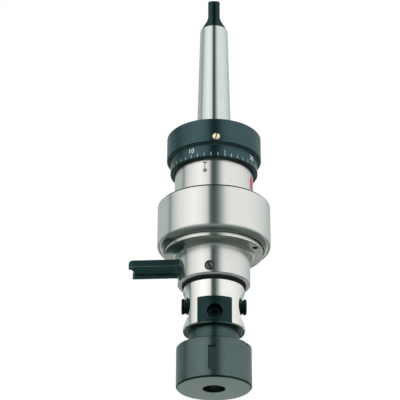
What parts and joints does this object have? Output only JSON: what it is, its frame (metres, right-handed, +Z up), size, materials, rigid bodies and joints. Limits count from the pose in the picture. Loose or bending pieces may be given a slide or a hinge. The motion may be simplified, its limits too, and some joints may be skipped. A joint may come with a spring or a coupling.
{
  "type": "tapping head",
  "caption": "Self-reversing tapping head with a Morse taper shank, torque adjusting ring, stop arm, floating spindle and collet nut.",
  "frame": {"origin": "centre of the collet nut's lower face, on the main axis", "axes": "+Z up along the main axis towards the shank's tang, -Y towards the front slotted screw, stop arm along -X"},
  "size_m": [0.0718, 0.058, 0.2202],
  "materials": {
    "ground_steel": "ground",
    "satin_steel": "turned satin",
    "bearing_steel": "hardened and ground",
    "spring_steel": "oiled",
    "black_ring": "black oxide, turned",
    "black_oxide": "black oxide",
    "grey_oxide": "grey oxide, turned",
    "brass": "turned",
    "bronze": "bored",
    "seal_rubber": "moulded"
  },
  "bodies": {
    "drive": {"morse_shank": "ground_steel", "drive_sleeve": "satin_steel", "torque_balls": "bearing_steel", "detent_plate": "bearing_steel", "disc_springs": "spring_steel", "bearing_inner_race": "bearing_steel", "ring_gear": "bearing_steel", "centring_spring": "spring_steel"},
    "pressure_stack": {"pressure_ring": "bearing_steel"},
    "torque_ring": {"torque_ring": "black_ring", "scale_ring": "black_ring", "ring_lock_screw": "brass"},
    "housing": {"housing": "satin_steel", "flange_cover": "satin_steel", "spindle_bush": "bronze", "dust_seal": "seal_rubber", "stop_arm": "black_oxide", "arm_lock_screw": "black_oxide", "planet_pins": "bearing_steel", "bearing_outer_race": "bearing_steel", "bearing_balls": "bearing_steel", "bearing_cage": "brass"},
    "reverse_sun": {"reverse_sun": "bearing_steel"},
    "float_carrier": {"float_collar": "bearing_steel"},
    "spindle": {"spindle": "ground_steel", "jaw_block_front": "black_oxide", "jaw_block_back": "black_oxide", "collet_nose": "black_oxide", "nose_screws": "black_oxide", "screw_seats": "black_oxide"},
    "collet": {"collet": "bearing_steel"},
    "collet_nut": {"collet_nut": "grey_oxide"},
    "planet_gear_1": {"planet_gear_1": "bearing_steel"},
    "planet_gear_2": {"planet_gear_2": "bearing_steel"},
    "planet_gear_3": {"planet_gear_3": "bearing_steel"},
    "clamp_pad_front": {"clamp_pad_front": "bearing_steel"},
    "clamp_screw_front": {"clamp_screw_front": "black_oxide"},
    "clamp_pad_right": {"clamp_pad_right": "bearing_steel"},
    "clamp_screw_right": {"clamp_screw_right": "black_oxide"},
    "clamp_pad_back": {"clamp_pad_back": "bearing_steel"},
    "clamp_screw_back": {"clamp_screw_back": "black_oxide"},
    "clamp_pad_left": {"clamp_pad_left": "bearing_steel"},
    "clamp_screw_left": {"clamp_screw_left": "black_oxide"}
  },
  "joints": [
    {"name": "pressure_travel", "type": "slide", "parent": "drive", "child": "pressure_stack", "axis": [0, 0, 1], "range_m": [-0.00056, 0.00056], "deforming": ["disc_springs"]},
    {"name": "torque_ring_turn", "type": "hinge", "parent": "pressure_stack", "child": "torque_ring", "pos_m": [0, 0, 0.1306], "axis": [0, 0, 1], "range_deg": [-135, 135]},
    {"name": "housing_turn", "type": "hinge", "parent": "drive", "child": "housing", "pos_m": [0, 0, 0.0905], "axis": [0, 0, 1], "continuous": true},
    {"name": "reverse_sun_turn", "type": "hinge", "parent": "housing", "child": "reverse_sun", "pos_m": [0, 0, 0.0824], "axis": [0, 0, 1], "continuous": true},
    {"name": "spindle_float", "type": "slide", "parent": "drive", "child": "float_carrier", "axis": [0, 0, 1], "range_m": [-0.002, 0.002], "stiffness_N_per_m": 6000, "springref_m": 0.0007, "deforming": ["centring_spring"]},
    {"name": "spindle_turn", "type": "hinge", "parent": "float_carrier", "child": "spindle", "pos_m": [0, 0, 0.06], "axis": [0, 0, 1], "continuous": true},
    {"name": "collet_travel", "type": "slide", "parent": "spindle", "child": "collet", "axis": [0, 0, 1], "range_m": [-0.003, 0]},
    {"name": "collet_nut_turn", "type": "hinge", "parent": "collet", "child": "collet_nut", "pos_m": [0, 0, 0.0105], "axis": [0, 0, 1], "range_deg": [-721, 1]},
    {"name": "planet_gear_1_turn", "type": "hinge", "parent": "housing", "child": "planet_gear_1", "pos_m": [0.01688, 0, 0.0824], "axis": [0, 0, 1], "continuous": true},
    {"name": "planet_gear_2_turn", "type": "hinge", "parent": "housing", "child": "planet_gear_2", "pos_m": [-0.00844, 0.01461, 0.0824], "axis": [0, 0, 1], "continuous": true},
    {"name": "planet_gear_3_turn", "type": "hinge", "parent": "housing", "child": "planet_gear_3", "pos_m": [-0.00844, -0.01461, 0.0824], "axis": [0, 0, 1], "continuous": true},
    {"name": "clamp_travel_front", "type": "slide", "parent": "spindle", "child": "clamp_pad_front", "axis": [-0.1478, 0.989, 0], "range_m": [-0.001, 0.0015]},
    {"name": "clamp_turn_front", "type": "hinge", "parent": "clamp_pad_front", "child": "clamp_screw_front", "pos_m": [0.00142, -0.00949, 0.0351], "axis": [-0.1478, 0.989, 0], "range_deg": [-289, 433]},
    {"name": "clamp_travel_right", "type": "slide", "parent": "spindle", "child": "clamp_pad_right", "axis": [-0.989, -0.1478, 0], "range_m": [-0.001, 0.0015]},
    {"name": "clamp_turn_right", "type": "hinge", "parent": "clamp_pad_right", "child": "clamp_screw_right", "pos_m": [0.01192, 0.00178, 0.0431], "axis": [-0.989, -0.1478, 0], "range_deg": [-289, 433]},
    {"name": "clamp_travel_back", "type": "slide", "parent": "spindle", "child": "clamp_pad_back", "axis": [0.1478, -0.989, 0], "range_m": [-0.001, 0.0015]},
    {"name": "clamp_turn_back", "type": "hinge", "parent": "clamp_pad_back", "child": "clamp_screw_back", "pos_m": [-0.00142, 0.00949, 0.0351], "axis": [0.1478, -0.989, 0], "range_deg": [-289, 433]},
    {"name": "clamp_travel_left", "type": "slide", "parent": "spindle", "child": "clamp_pad_left", "axis": [0.989, 0.1478, 0], "range_m": [-0.001, 0.0015]},
    {"name": "clamp_turn_left", "type": "hinge", "parent": "clamp_pad_left", "child": "clamp_screw_left", "pos_m": [-0.01192, -0.00178, 0.0431], "axis": [0.989, 0.1478, 0], "range_deg": [-289, 433]}
  ],
  "couplings": [
    {"joint": "torque_ring_turn", "follows": "pressure_travel", "rad_per_m": 4188.8},
    {"joint": "reverse_sun_turn", "follows": "housing_turn", "ratio": 1.7273},
    {"joint": "collet_nut_turn", "follows": "collet_travel", "rad_per_m": 4188.8},
    {"joint": "planet_gear_1_turn", "follows": "housing_turn", "ratio": -4.75},
    {"joint": "planet_gear_2_turn", "follows": "housing_turn", "ratio": -4.75},
    {"joint": "planet_gear_3_turn", "follows": "housing_turn", "ratio": -4.75},
    {"joint": "clamp_turn_front", "follows": "clamp_travel_front", "rad_per_m": 5026.5},
    {"joint": "clamp_turn_right", "follows": "clamp_travel_right", "rad_per_m": 5026.5},
    {"joint": "clamp_turn_back", "follows": "clamp_travel_back", "rad_per_m": 5026.5},
    {"joint": "clamp_turn_left", "follows": "clamp_travel_left", "rad_per_m": 5026.5}
  ]
}
